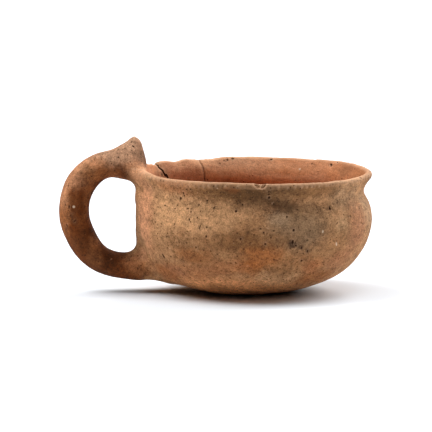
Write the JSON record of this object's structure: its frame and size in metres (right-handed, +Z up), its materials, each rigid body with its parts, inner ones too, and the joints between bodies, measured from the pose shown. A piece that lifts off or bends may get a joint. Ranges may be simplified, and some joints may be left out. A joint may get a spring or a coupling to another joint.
{
  "type": "dipper cup",
  "caption": "Round-bottomed hand-built earthenware dipper cup with a flared lip and one high loop handle that rises over the rim into a thumb spur.",
  "frame": {"origin": "where the bowl's axis meets the small flat on the underside that the cup rests on", "axes": "+Z up out of the bowl's mouth, the handle points along -X, +Y completes the right hand"},
  "size_m": [0.1904, 0.1433, 0.0945],
  "materials": {
    "fired_clay": "matte unglazed earthenware, weathered"
  },
  "bodies": {
    "root": {"dipper_cup": "fired_clay"}
  },
  "joints": []
}
